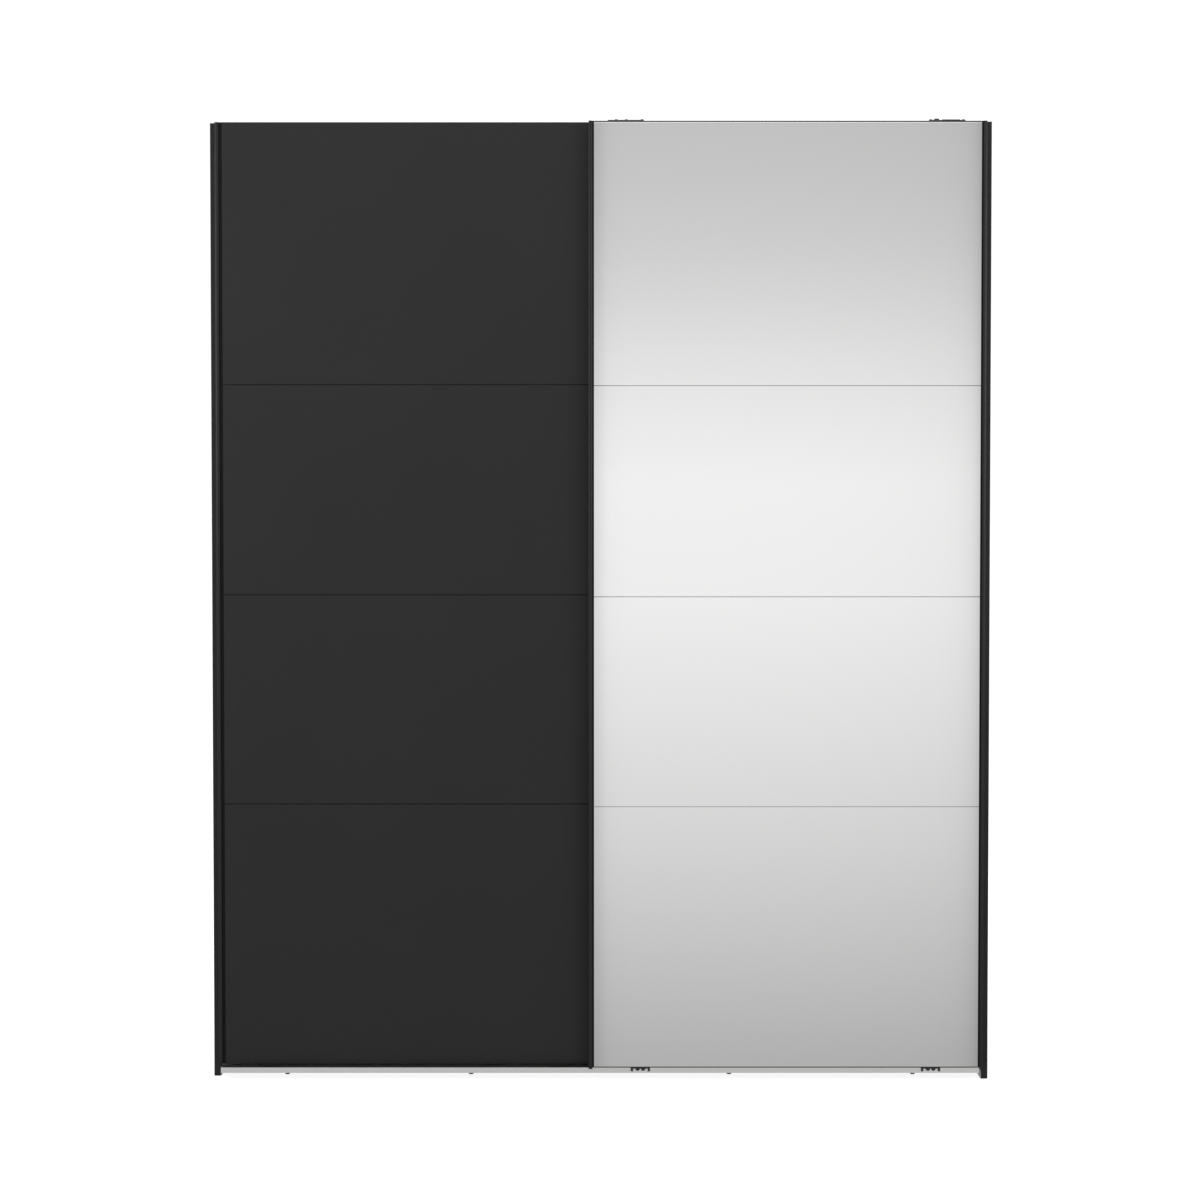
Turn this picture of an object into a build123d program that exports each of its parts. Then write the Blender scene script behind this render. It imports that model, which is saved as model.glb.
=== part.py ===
from build123d import *
import os

# Free-standing sliding door wardrobe. Two top-hung doors of four fields each run in two lanes in
# front of the carcass: the mirror door in front on the right, the graphite door behind it on the left.
# Each side panel ends just behind its own door, so the left one is shallower by the lane step.
# Millimetres. +X is to the right, -Y is the front and +Z is up.
# The origin lies on the floor, under the middle of the wardrobe.

os.makedirs("parts", exist_ok=True)

# ---------------------------------------------------------------- driving dimensions

# Carcass boards
WIDTH = 1790.0
HEIGHT = 2200.0
DEPTH = 640.0
BOARD = 16.0
EDGE_BEVEL = 0.8
TOP_PANEL_TOP = 2156.0
BOTTOM_PANEL_BASE = 19.0
PANEL_REAR_GAP = 2.0  # from the panels' rear edges to the back sheets

# Back sheets in their grooves, and the strip that joins them
BACK_SHEET = 3.0
BACK_INSET = 11.0
BACK_BASE = 17.0
BACK_TOP = 2155.0
BACK_PLAY = 0.5
GROOVE_DEPTH = 8.0
GROOVE_PLAY = 0.2
STRIP_FLANGE = 12.0
STRIP_SHEET = 1.0
STRIP_WEB = 2.0

# Shelves and their pins
SHELF_FRONT = -235.5
SHELF_PLAY = 0.5
SHELF_BACK_GAP = 4.0
HAT_SHELF_Z = 1820.0
LOW_SHELVES = {"lower": 480.0, "middle": 930.0, "upper": 1380.0}
PIN_RADIUS = 2.45
PIN_OUT = 8.0
PIN_IN = 7.0
PIN_Y = (-180.0, 260.0)

# Hanging rail and its sockets
HANGER_Y = 35.0
HANGER_Z = 1770.0
HANGER_HEIGHT = 30.0
HANGER_THICKNESS = 15.0
HANGER_WALL = 1.2
SOCKET_PLATE = 2.0
SOCKET_WALL = 1.6
SOCKET_PLAY = 0.2
SOCKET_REACH = 12.0
SOCKET_HEIGHT = 62.0
SOCKET_SCREW_RISE = 24.0

# Doors
DOOR_WIDTH = 908.0
DOOR_BOTTOM = 32.0
DOOR_TOP = HEIGHT
DOOR_LAP = 3.0  # how far a closed door reaches over the side panel's front edge
PANEL_SETBACK = 4.5  # from a door's back to the front edge of the side panel behind it
LANE_STEP = 38.0
TRAVEL = 845.0
PANE = 4.0
PANE_BEVEL = 0.5
PANE_PLAY = 0.3
LOWER_FIELD = 600.3
INNER_FIELD = 482.7
UPPER_FIELD = 602.3
MIRROR_JOINT = 1.0
GRAPHITE_JOINT = 1.6
MIRROR_TOP_REVEAL = 3.3
REAR_SEAM_LIFT = 3.0  # lines the rear door's joints up with the front door's for someone standing

# Stiles
STILE_WEB = 2.0
STILE_FLANGE = 20.0
STILE_SHEET = 1.5
STILE_SCREW_Z = (120.0, 610.0, 1100.0, 1590.0, 2040.0)
GRIP_FACE = 8.5
GRIP_PROUD = 2.5
GRIP_CROWN = 0.8
GRIP_DROP = 5.0
MIRROR_REVEAL = 3.0
GRAPHITE_REVEAL = 7.2

# Brush strips behind the closing edges
BRUSH_INSET = 1.7
BRUSH_BASE = 1.0
BRUSH_REACH = 2.6
BRUSH_WIDTH = 3.0
PILE_WIDTH = 2.4
BRUSH_END_GAP = 14.0

# Carriers
CARRIER_SHEET = 3.0
CARRIER_FOOT = 2100.0
CARRIER_ARM_GAP = 1.0
CARRIER_BEND = 4.0
CARRIER_WIDTH = 82.5
INNER_CARRIER_X = 59.0
CLOSING_CARRIER_X = 793.0
CARRIER_SCREW_X = (-18.0, 18.0)
CARRIER_SCREW_Z = (2115.0, 2145.0)
DROP_PLATE_LIFT = 2.5  # from the track's lips to the drop plate's lower edge
LOCK_RADIUS = 3.4
LOCK_HEIGHT = 1.8
INNER_LOCK_X = (-21.9, 1.1, 37.2)
CLOSING_LOCK_X = (-37.2, 37.2)
SETTING_RADIUS = 5.6
SETTING_HEIGHT = 3.2
SETTING_X = -23.6
ADJUSTER_INSET = 9.0
CLAMP_WIDTH = 40.5
CLAMP_DEPTH = 20.0
CLAMP_HEIGHT = 0.8
CLAMP_SHIFT = 8.7

# Wheels, bearings and axles
WHEEL_RADIUS = 14.0
WHEEL_WIDTH = 9.0
WHEEL_EDGE = 1.0
BEARING_RADIUS = 7.0
BEARING_WIDTH = 5.0
RACE_HALF_WIDTH = 0.8
RACE_DEPTH = 0.5
AXLE_RADIUS = 3.0
AXLE_COLLAR_RADIUS = 4.5
AXLE_HEAD_RADIUS = 5.0
AXLE_HEAD = 1.5
AXLE_PLAY = 0.3
RUNNING_PLAY = 0.05

# Top track and its stops
REAR_LANE_Y = -243.5
FRONT_LANE_Y = -219.5
LANE_PLAY = 1.0
TRACK_BASE = 2.5
TRACK_LIP = 1.5
TRACK_LIP_HEIGHT = 5.0
STOP_LENGTH = 24.5
STOP_HEIGHT = 16.0
STOP_CLEARANCE = 0.5

# Bottom rail, guides and feet
RAIL_BASE_Z = 16.0
RAIL_BASE = 3.0
RAIL_TOP = 28.5
RAIL_LIP = 2.5
RAIL_LAP = 25.0
RAIL_END_GAP = 5.0
GUIDE_LENGTH = 44.0
GUIDE_LEG = 2.6
GUIDE_PLAY = 0.4
GUIDE_PLATE = 2.8
GUIDE_EAR = 6.4
GUIDE_BAR = 2.7
GUIDE_DROP = 8.9
GUIDE_END = 5.0
GUIDE_LOBE_RADIUS = 5.0
GUIDE_LOBE_X = 6.3
GUIDE_SCREW_X = (-12.0, 12.0)
GUIDE_SCREW_HEAD = 2.8
INNER_GUIDE_X = 93.0
CLOSING_GUIDE_X = 762.0
FOOT_X = (-727.0, -300.0, 300.0, 727.0)
FOOT_Y = (-232.0, 280.0)
FOOT_RADIUS = 5.5
FOOT_PAD = 6.0
FOOT_EDGE = 1.5
FOOT_STEM_RADIUS = 4.0

# Fasteners
HOLE_PLAY = 0.05
SCREW_SHANK = 1.8
SCREW_HEAD = 3.5
SCREW_HEAD_HEIGHT = 1.5
SCREW_HEAD_BEVEL = 0.5
SCREW_LENGTH = 12.0
TRACK_SCREW_X = (-700.0, -420.0, -140.0, 140.0, 420.0, 700.0)
RAIL_SCREW_X = (-800.0, -500.0, -100.0, 100.0, 500.0, 800.0)
CAM_Y = (-190.0, 40.0, 270.0)
CAM_RADIUS = 7.5
CAM_DEPTH = 12.5
CAM_REACH = 34.0
CAM_SLOT = 1.6
CAM_BOLT_SHAFT = 3.5
CAM_BOLT_BORE = 4.0
CAM_BOLT_THREAD = 2.45
CAM_BOLT_BITE = 10.5
LONG_SCREW_SHANK = 2.5
LONG_SCREW_HEAD = 5.0
LONG_SCREW_HEAD_DEPTH = 4.0
LONG_SCREW_KEY_DEPTH = 2.0
LONG_SCREW_LENGTH = 50.0

# Wall angles
BRACKET_X = (-600.0, 600.0)
BRACKET_WIDTH = 30.0
BRACKET_SHEET = 2.5
BRACKET_LEG = 44.0
BRACKET_RISE = 40.0
BRACKET_HOLE = 3.25
BRACKET_HOLE_RISE = 26.0
BRACKET_SCREW_INSET = 28.0

# ---------------------------------------------------------------- worked out from them

FRONT = -DEPTH / 2
REAR = DEPTH / 2
OUTER = WIDTH / 2
INNER = OUTER - BOARD
HALF_BOARD = BOARD / 2
BACK_OUTSIDE = REAR - BACK_INSET
BACK_INSIDE = BACK_OUTSIDE - BACK_SHEET
TOP_PANEL_BASE = TOP_PANEL_TOP - BOARD
BOTTOM_PANEL_TOP = BOTTOM_PANEL_BASE + BOARD

LANE_HALF = WHEEL_WIDTH / 2 + LANE_PLAY
TRACK_FRONT = REAR_LANE_Y - LANE_HALF - TRACK_LIP
TRACK_REAR = FRONT_LANE_Y + LANE_HALF + TRACK_LIP
RUNNING_SURFACE = TOP_PANEL_TOP + TRACK_BASE
AXLE_Z = RUNNING_SURFACE + WHEEL_RADIUS + RUNNING_PLAY
PANEL_FRONT = TRACK_FRONT
PANEL_REAR = BACK_INSIDE - PANEL_REAR_GAP

DOOR_DEPTH = PANE + BOARD
MIRROR_FACE = FRONT + GRIP_PROUD
MIRROR_BACK = MIRROR_FACE + DOOR_DEPTH
MIRROR_LIP_Y = MIRROR_FACE + DOOR_DEPTH / 2
GRAPHITE_FACE = MIRROR_FACE + LANE_STEP
GRAPHITE_BACK = GRAPHITE_FACE + DOOR_DEPTH
GRAPHITE_LIP_Y = GRAPHITE_FACE + DOOR_DEPTH / 2
CLOSING_EDGE = INNER + DOOR_LAP
INNER_EDGE = CLOSING_EDGE - DOOR_WIDTH
GUIDE_HALF = RAIL_LIP / 2 + GUIDE_PLAY + GUIDE_LEG
GUIDE_PLATE_Z = DOOR_BOTTOM - GUIDE_PLATE
GUIDE_SCREW_Y = GUIDE_HALF + GUIDE_EAR / 2
ARM_BASE = DOOR_TOP + CARRIER_ARM_GAP
ARM_TOP = ARM_BASE + CARRIER_SHEET

FIELD_EDGES = [DOOR_BOTTOM]
for height in (LOWER_FIELD, INNER_FIELD, INNER_FIELD, UPPER_FIELD):
    FIELD_EDGES.append(FIELD_EDGES[-1] + height)

FORWARD = (0, -1, 0)
BACKWARD = (0, 1, 0)
LEFT = (-1, 0, 0)
RIGHT = (1, 0, 0)
UP = (0, 0, 1)
DOWN = (0, 0, -1)

# ---------------------------------------------------------------- shared shapes


def facing(direction, points):
    """Planes that stand at the points and face the given way."""
    return [Plane(origin=point, z_dir=direction) for point in points]


def span(start, reach):
    """The two ends of a stretch from start, in rising order."""
    return tuple(sorted((start, start + reach)))


def block(x, y, z):
    """A rectangular piece between two limits along each axis."""
    with BuildPart() as piece:
        with BuildSketch(Plane.XY.offset(z[0])):
            with Locations(((x[0] + x[1]) / 2, (y[0] + y[1]) / 2)):
                Rectangle(x[1] - x[0], y[1] - y[0])
        extrude(amount=z[1] - z[0])
    return piece.part


def bored(body, planes, radius, depth):
    """The body with a round hole of that depth behind each plane."""
    with BuildPart() as piece:
        add(body)
        with BuildSketch(*planes):
            Circle(radius)
        extrude(amount=-depth, mode=Mode.SUBTRACT)
    return piece.part


def drilled(body, planes, depth):
    """The body with a pilot hole for a pan head screw behind each plane."""
    return bored(body, planes, SCREW_SHANK + HOLE_PLAY, depth)


def front_bevelled(body, length):
    """The body with the edges of its foremost face bevelled."""
    with BuildPart() as piece:
        add(body)
        chamfer(piece.faces().sort_by(Axis.Y)[0].edges(), length)
    return piece.part


def together(bodies):
    """Separate solids of one kind as one node."""
    with BuildPart() as piece:
        for body in bodies:
            add(body)
    return piece.part


def pan_screws(planes, head=SCREW_HEAD):
    """Pan head screws whose heads stand on the planes."""
    with BuildPart() as piece:
        with BuildSketch(*planes):
            Circle(head)
        extrude(amount=SCREW_HEAD_HEIGHT)
        chamfer(piece.edges(), SCREW_HEAD_BEVEL)
        with BuildSketch(*planes):
            Circle(SCREW_SHANK)
        extrude(amount=-SCREW_LENGTH)
    return piece.part


def save(part, name):
    """Labels a finished piece and writes it as one STEP file."""
    part.label = name
    export_step(part, f"parts/{name}.step")


# ---------------------------------------------------------------- places of the carcass fasteners

RIGHT_LEVELS = (*LOW_SHELVES.values(), HAT_SHELF_Z)
LEFT_LEVELS = (HAT_SHELF_Z,)


def pin_points(x, levels):
    """Centres of the shelf pins in the face at x."""
    return [(x, y, level - PIN_RADIUS - HOLE_PLAY) for level in levels for y in PIN_Y]


def cam_bolt_points(x):
    """Roots of the cam bolts in the face at x."""
    levels = (BOTTOM_PANEL_BASE + HALF_BOARD, TOP_PANEL_BASE + HALF_BOARD)
    return [(x, y, z) for z in levels for y in CAM_Y]


def cam_points(z):
    """Centres of the cam housings in the face at height z."""
    return [(side * (INNER - CAM_REACH), y, z) for side in (-1, 1) for y in CAM_Y]


def socket_points(x):
    """Places of the screws of one hanging rail socket in the plane at x."""
    return [(x, HANGER_Y, HANGER_Z + side * SOCKET_SCREW_RISE) for side in (-1, 1)]


track_screw_y = (REAR_LANE_Y + FRONT_LANE_Y) / 2
rail_screw_y = PANEL_FRONT + RAIL_LAP / 2
bracket_screw_y = REAR - BRACKET_SCREW_INSET
bracket_screw_z = TOP_PANEL_TOP + BRACKET_SHEET
track_screw_planes = facing(UP, [(x, track_screw_y, RUNNING_SURFACE) for x in TRACK_SCREW_X])
rail_screw_planes = facing(DOWN, [(x, rail_screw_y, RAIL_BASE_Z) for x in RAIL_SCREW_X])
bracket_screw_planes = facing(UP, [(x, bracket_screw_y, bracket_screw_z) for x in BRACKET_X])
long_screw_planes = facing(UP, [(0, y, TOP_PANEL_TOP) for y in CAM_Y])
long_screw_planes += facing(DOWN, [(0, y, BOTTOM_PANEL_BASE) for y in CAM_Y])

# ---------------------------------------------------------------- carcass boards


def side_panel(side, front, levels):
    """A full-height side panel with its groove and blind holes; side is -1 or 1."""
    inward = facing(LEFT if side > 0 else RIGHT, cam_bolt_points(side * INNER))
    pins = facing(LEFT if side > 0 else RIGHT, pin_points(side * INNER, levels))
    groove_y = (BACK_INSIDE - GROOVE_PLAY, BACK_OUTSIDE + GROOVE_PLAY)
    with BuildPart() as panel:
        add(block(span(side * INNER, side * BOARD), (front, REAR), (0, HEIGHT)))
        chamfer(panel.faces().sort_by(Axis.Y)[0].edges().filter_by(Axis.Z), EDGE_BEVEL)
        add(block(span(side * INNER, side * GROOVE_DEPTH), groove_y, (0, HEIGHT)), mode=Mode.SUBTRACT)
    body = bored(panel.part, inward, CAM_BOLT_THREAD + HOLE_PLAY, CAM_BOLT_BITE + HOLE_PLAY)
    return bored(body, pins, PIN_RADIUS + HOLE_PLAY, PIN_IN + HOLE_PLAY)


left_side = side_panel(-1, GRAPHITE_BACK + PANEL_SETBACK, LEFT_LEVELS)
save(drilled(left_side, facing(RIGHT, socket_points(-INNER)), SCREW_LENGTH), "side_panel_left")
save(side_panel(1, MIRROR_BACK + PANEL_SETBACK, RIGHT_LEVELS), "side_panel_right")


def deck(base, cam_face, way):
    """The top or bottom panel; its cams and long screws go in from cam_face, which faces way."""
    body = block((-INNER, INNER), (PANEL_FRONT, PANEL_REAR), (base, base + BOARD))
    body = bored(body, facing(way, cam_points(cam_face)), CAM_RADIUS + HOLE_PLAY, CAM_DEPTH + HOLE_PLAY)
    for side, outward in ((-1, LEFT), (1, RIGHT)):
        ends = [(side * INNER, y, base + HALF_BOARD) for y in CAM_Y]
        body = bored(body, facing(outward, ends), CAM_BOLT_BORE, CAM_REACH)
    middle = facing(way, [(0, y, cam_face) for y in CAM_Y])
    body = bored(body, middle, LONG_SCREW_SHANK + HOLE_PLAY, BOARD)
    return bored(body, middle, LONG_SCREW_HEAD + HOLE_PLAY, LONG_SCREW_HEAD_DEPTH)


pilot = SCREW_LENGTH + HOLE_PLAY
top_panel = deck(TOP_PANEL_BASE, TOP_PANEL_TOP, UP)
bottom_panel = deck(BOTTOM_PANEL_BASE, BOTTOM_PANEL_BASE, DOWN)
save(drilled(top_panel, track_screw_planes + bracket_screw_planes, pilot), "top_panel")
save(drilled(bottom_panel, rail_screw_planes, pilot), "bottom_panel")

partition_z = (BOTTOM_PANEL_TOP, TOP_PANEL_BASE)
partition_pins = facing(LEFT, pin_points(-HALF_BOARD, LEFT_LEVELS))
partition_pins += facing(RIGHT, pin_points(HALF_BOARD, RIGHT_LEVELS))
partition = block((-HALF_BOARD, HALF_BOARD), (PANEL_FRONT, PANEL_REAR), partition_z)
partition = bored(partition, long_screw_planes, LONG_SCREW_SHANK + HOLE_PLAY, LONG_SCREW_LENGTH + HOLE_PLAY)
partition = bored(partition, partition_pins, PIN_RADIUS + HOLE_PLAY, PIN_IN + HOLE_PLAY)
save(drilled(partition, facing(LEFT, socket_points(-HALF_BOARD)), SCREW_LENGTH), "partition")

LEFT_BAY = (-INNER + SHELF_PLAY, -HALF_BOARD - SHELF_PLAY)
RIGHT_BAY = (HALF_BOARD + SHELF_PLAY, INNER - SHELF_PLAY)


def shelf(bay, level):
    """A shelf with its underside at that level."""
    return front_bevelled(
        block(bay, (SHELF_FRONT, BACK_INSIDE - SHELF_BACK_GAP), (level, level + BOARD)), EDGE_BEVEL
    )


save(shelf(LEFT_BAY, HAT_SHELF_Z), "hat_shelf_left")
save(shelf(RIGHT_BAY, HAT_SHELF_Z), "hat_shelf_right")
for place, level in LOW_SHELVES.items():
    save(shelf(RIGHT_BAY, level), f"shelf_{place}")

# ---------------------------------------------------------------- back

for place, side in (("left", -1), ("right", 1)):
    sheet_x = (side * (STRIP_WEB / 2 + BACK_PLAY), side * (INNER + GROOVE_DEPTH - BACK_PLAY))
    save(
        block(sorted(sheet_x), (BACK_INSIDE, BACK_OUTSIDE), (BACK_BASE, BACK_TOP)),
        f"back_panel_{place}",
    )

with BuildPart() as back_joint_strip:
    with BuildSketch(Plane.XY.offset(BACK_BASE)):
        with Locations((0, (BACK_INSIDE + BACK_OUTSIDE) / 2)):
            Rectangle(STRIP_WEB, BACK_SHEET)
        with Locations((0, BACK_INSIDE - STRIP_SHEET / 2), (0, BACK_OUTSIDE + STRIP_SHEET / 2)):
            Rectangle(2 * STRIP_FLANGE, STRIP_SHEET)
    extrude(amount=BACK_TOP - BACK_BASE)
save(back_joint_strip.part, "back_joint_strip")

# ---------------------------------------------------------------- hanging rail

with BuildPart() as hanging_rail:
    with BuildSketch(Plane.YZ.offset(-INNER + SOCKET_PLATE + SHELF_PLAY)):
        with Locations((HANGER_Y, HANGER_Z)):
            SlotOverall(HANGER_HEIGHT, HANGER_THICKNESS, rotation=90)
            SlotOverall(
                HANGER_HEIGHT - 2 * HANGER_WALL,
                HANGER_THICKNESS - 2 * HANGER_WALL,
                rotation=90,
                mode=Mode.SUBTRACT,
            )
    extrude(amount=INNER - HALF_BOARD - 2 * (SOCKET_PLATE + SHELF_PLAY))
save(hanging_rail.part, "hanging_rail")


def rail_socket(x, way):
    """A flanged oval cup that holds one end of the hanging rail."""
    opening = HANGER_THICKNESS + 2 * SOCKET_PLAY
    tall = HANGER_HEIGHT + 2 * SOCKET_PLAY
    thick = opening + 2 * SOCKET_WALL
    wall = Plane(origin=(x, HANGER_Y, HANGER_Z), x_dir=BACKWARD, z_dir=way)
    with BuildPart() as socket:
        with BuildSketch(wall):
            SlotOverall(SOCKET_HEIGHT, thick, rotation=90)
        extrude(amount=SOCKET_PLATE)
        with BuildSketch(wall):
            SlotOverall(tall + 2 * SOCKET_WALL, thick, rotation=90)
            SlotOverall(tall, opening, rotation=90, mode=Mode.SUBTRACT)
        extrude(amount=SOCKET_REACH)
    places = socket_points(x + way[0] * SOCKET_PLATE)
    return drilled(socket.part, facing(way, places), SOCKET_PLATE)


save(together([rail_socket(-INNER, RIGHT), rail_socket(-HALF_BOARD, LEFT)]), "rail_sockets")
socket_screw_planes = facing(RIGHT, socket_points(-INNER + SOCKET_PLATE))
socket_screw_planes += facing(LEFT, socket_points(-HALF_BOARD - SOCKET_PLATE))

# ---------------------------------------------------------------- top track and stops

with BuildPart() as top_track:
    with BuildSketch(Plane.XY.offset(TOP_PANEL_TOP)):
        with Locations((0, (TRACK_FRONT + TRACK_REAR) / 2)):
            Rectangle(2 * INNER, TRACK_REAR - TRACK_FRONT)
    extrude(amount=TRACK_BASE)
    lip_offset = LANE_HALF + TRACK_LIP / 2
    with BuildSketch(Plane.XY.offset(RUNNING_SURFACE)):
        for lane in (REAR_LANE_Y, FRONT_LANE_Y):
            with Locations((0, lane - lip_offset), (0, lane + lip_offset)):
                Rectangle(2 * INNER, TRACK_LIP)
    extrude(amount=TRACK_LIP_HEIGHT)
save(drilled(top_track.part, track_screw_planes, TRACK_BASE), "top_track")


def track_stop(x, lane):
    """A rubber block in one lane; its near end, at x, meets a wheel at the end of its travel."""
    half = WHEEL_WIDTH / 2
    length = STOP_LENGTH if x > 0 else -STOP_LENGTH
    return block(
        span(x, length), (lane - half, lane + half), (RUNNING_SURFACE, RUNNING_SURFACE + STOP_HEIGHT)
    )


closed_stop = CLOSING_CARRIER_X + WHEEL_RADIUS + STOP_CLEARANCE
open_stop = TRAVEL - INNER_CARRIER_X + WHEEL_RADIUS + STOP_CLEARANCE
stop_places = (
    (-closed_stop, REAR_LANE_Y),
    (open_stop, REAR_LANE_Y),
    (closed_stop, FRONT_LANE_Y),
    (-open_stop, FRONT_LANE_Y),
)
save(together([track_stop(x, lane) for x, lane in stop_places]), "track_stops")

# ---------------------------------------------------------------- bottom rail and feet

rail_front = MIRROR_LIP_Y - RAIL_LIP / 2
rail_rear = PANEL_FRONT + RAIL_LAP
rail_length = 2 * (INNER - RAIL_END_GAP)
with BuildPart() as bottom_rail:
    with BuildSketch(Plane.XY.offset(RAIL_BASE_Z)):
        with Locations((0, (rail_front + rail_rear) / 2)):
            Rectangle(rail_length, rail_rear - rail_front)
        with Locations(*[(x, FOOT_Y[0]) for x in FOOT_X]):
            Circle(FOOT_STEM_RADIUS + HOLE_PLAY, mode=Mode.SUBTRACT)
    extrude(amount=RAIL_BASE)
    with BuildSketch(Plane.XY.offset(RAIL_BASE_Z + RAIL_BASE)):
        with Locations((0, MIRROR_LIP_Y), (0, GRAPHITE_LIP_Y)):
            Rectangle(rail_length, RAIL_LIP)
    extrude(amount=RAIL_TOP - RAIL_BASE_Z - RAIL_BASE)
save(drilled(bottom_rail.part, rail_screw_planes, RAIL_BASE), "bottom_rail")

foot_points = [(x, y) for x in FOOT_X for y in FOOT_Y]
with BuildPart() as levelling_feet:
    with BuildSketch(Plane.XY):
        with Locations(*foot_points):
            Circle(FOOT_RADIUS)
    extrude(amount=FOOT_PAD)
    fillet(levelling_feet.faces().group_by(Axis.Z)[0].edges(), FOOT_EDGE)
    with BuildSketch(Plane.XY.offset(FOOT_PAD)):
        with Locations(*foot_points):
            Circle(FOOT_STEM_RADIUS)
    extrude(amount=BOTTOM_PANEL_BASE - FOOT_PAD)
save(levelling_feet.part, "levelling_feet")

# ---------------------------------------------------------------- carcass fasteners

cam_planes = facing(UP, cam_points(TOP_PANEL_TOP)) + facing(DOWN, cam_points(BOTTOM_PANEL_BASE))
with BuildPart() as cam_housings:
    with BuildSketch(*cam_planes):
        Circle(CAM_RADIUS)
    extrude(amount=-CAM_DEPTH)
    with BuildSketch(*cam_planes):
        Rectangle(CAM_RADIUS, CAM_SLOT)
        Rectangle(CAM_SLOT, CAM_RADIUS)
    extrude(amount=-CAM_SLOT, mode=Mode.SUBTRACT)
save(cam_housings.part, "cam_housings")

bolt_planes = facing(RIGHT, cam_bolt_points(-INNER)) + facing(LEFT, cam_bolt_points(INNER))
with BuildPart() as cam_bolts:
    with BuildSketch(*bolt_planes):
        Circle(CAM_BOLT_THREAD)
    extrude(amount=-CAM_BOLT_BITE)
    with BuildSketch(*bolt_planes):
        Circle(CAM_BOLT_SHAFT)
    extrude(amount=CAM_REACH - CAM_RADIUS - 2 * HOLE_PLAY)
save(cam_bolts.part, "cam_bolts")

with BuildPart() as partition_screws:
    with BuildSketch(*long_screw_planes):
        Circle(LONG_SCREW_HEAD)
    extrude(amount=-LONG_SCREW_HEAD_DEPTH)
    with BuildSketch(*long_screw_planes):
        Circle(LONG_SCREW_SHANK)
    extrude(amount=-LONG_SCREW_LENGTH)
    with BuildSketch(*long_screw_planes):
        RegularPolygon(LONG_SCREW_SHANK, 6)
    extrude(amount=-LONG_SCREW_KEY_DEPTH, mode=Mode.SUBTRACT)
save(partition_screws.part, "partition_screws")

pin_planes = partition_pins + facing(RIGHT, pin_points(-INNER, LEFT_LEVELS))
pin_planes += facing(LEFT, pin_points(INNER, RIGHT_LEVELS))
with BuildPart() as shelf_pins:
    with BuildSketch(*pin_planes):
        Circle(PIN_RADIUS)
    extrude(amount=-PIN_IN)
    with BuildSketch(*pin_planes):
        Circle(PIN_RADIUS)
    extrude(amount=PIN_OUT)
save(shelf_pins.part, "shelf_pins")


def wall_angle(x):
    """A steel angle from the top panel to the wall, with one hole for a wall screw."""
    width = (x - BRACKET_WIDTH / 2, x + BRACKET_WIDTH / 2)
    with BuildPart() as angle:
        add(block(width, (REAR - BRACKET_LEG, REAR), (TOP_PANEL_TOP, bracket_screw_z)))
        add(block(width, (REAR - BRACKET_SHEET, REAR), (TOP_PANEL_TOP, TOP_PANEL_TOP + BRACKET_RISE)))
    hole = facing(BACKWARD, [(x, REAR, TOP_PANEL_TOP + BRACKET_HOLE_RISE)])
    return bored(angle.part, hole, BRACKET_HOLE, BRACKET_SHEET)


wall_brackets = together([wall_angle(x) for x in BRACKET_X])
save(drilled(wall_brackets, bracket_screw_planes, BRACKET_SHEET), "wall_brackets")

panel_screw_planes = track_screw_planes + bracket_screw_planes + rail_screw_planes + socket_screw_planes
save(pan_screws(panel_screw_planes), "panel_screws")

# ---------------------------------------------------------------- pieces that both doors have


def stile_screw_planes(x, back):
    """Planes for the screws through the rear flange of the stile centred on x."""
    return facing(BACKWARD, [(x, back + STILE_SHEET, z) for z in STILE_SCREW_Z])


def carrier_screw_planes(x, back):
    """Planes for the screws that hold one carrier to the door's back."""
    places = [(x + dx, back + CARRIER_SHEET, z) for dx in CARRIER_SCREW_X for z in CARRIER_SCREW_Z]
    return facing(BACKWARD, places)


def guide_screw_planes(x, lip_y):
    """Planes for the screws under one guide's ear."""
    return facing(DOWN, [(x + dx, lip_y + GUIDE_SCREW_Y, GUIDE_PLATE_Z) for dx in GUIDE_SCREW_X])


def door_core(x, back, back_planes, guide_planes):
    """The full-height core board, drilled for the screws in its back and its lower edge."""
    body = block(x, (back - BOARD, back), (DOOR_BOTTOM, DOOR_TOP))
    return drilled(drilled(body, back_planes, SCREW_LENGTH), guide_planes, SCREW_LENGTH)


def door_field(x, face, index, joint, lift, reveal):
    """One of the four panes, counted from the bottom; its inner joints stand lift higher."""
    low = FIELD_EDGES[index] + (lift + joint / 2 if index > 0 else 0)
    high = FIELD_EDGES[index + 1] + (lift - joint / 2 if index < 3 else -reveal)
    return front_bevelled(block(x, (face, face + PANE), (low, high)), PANE_BEVEL)


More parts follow.
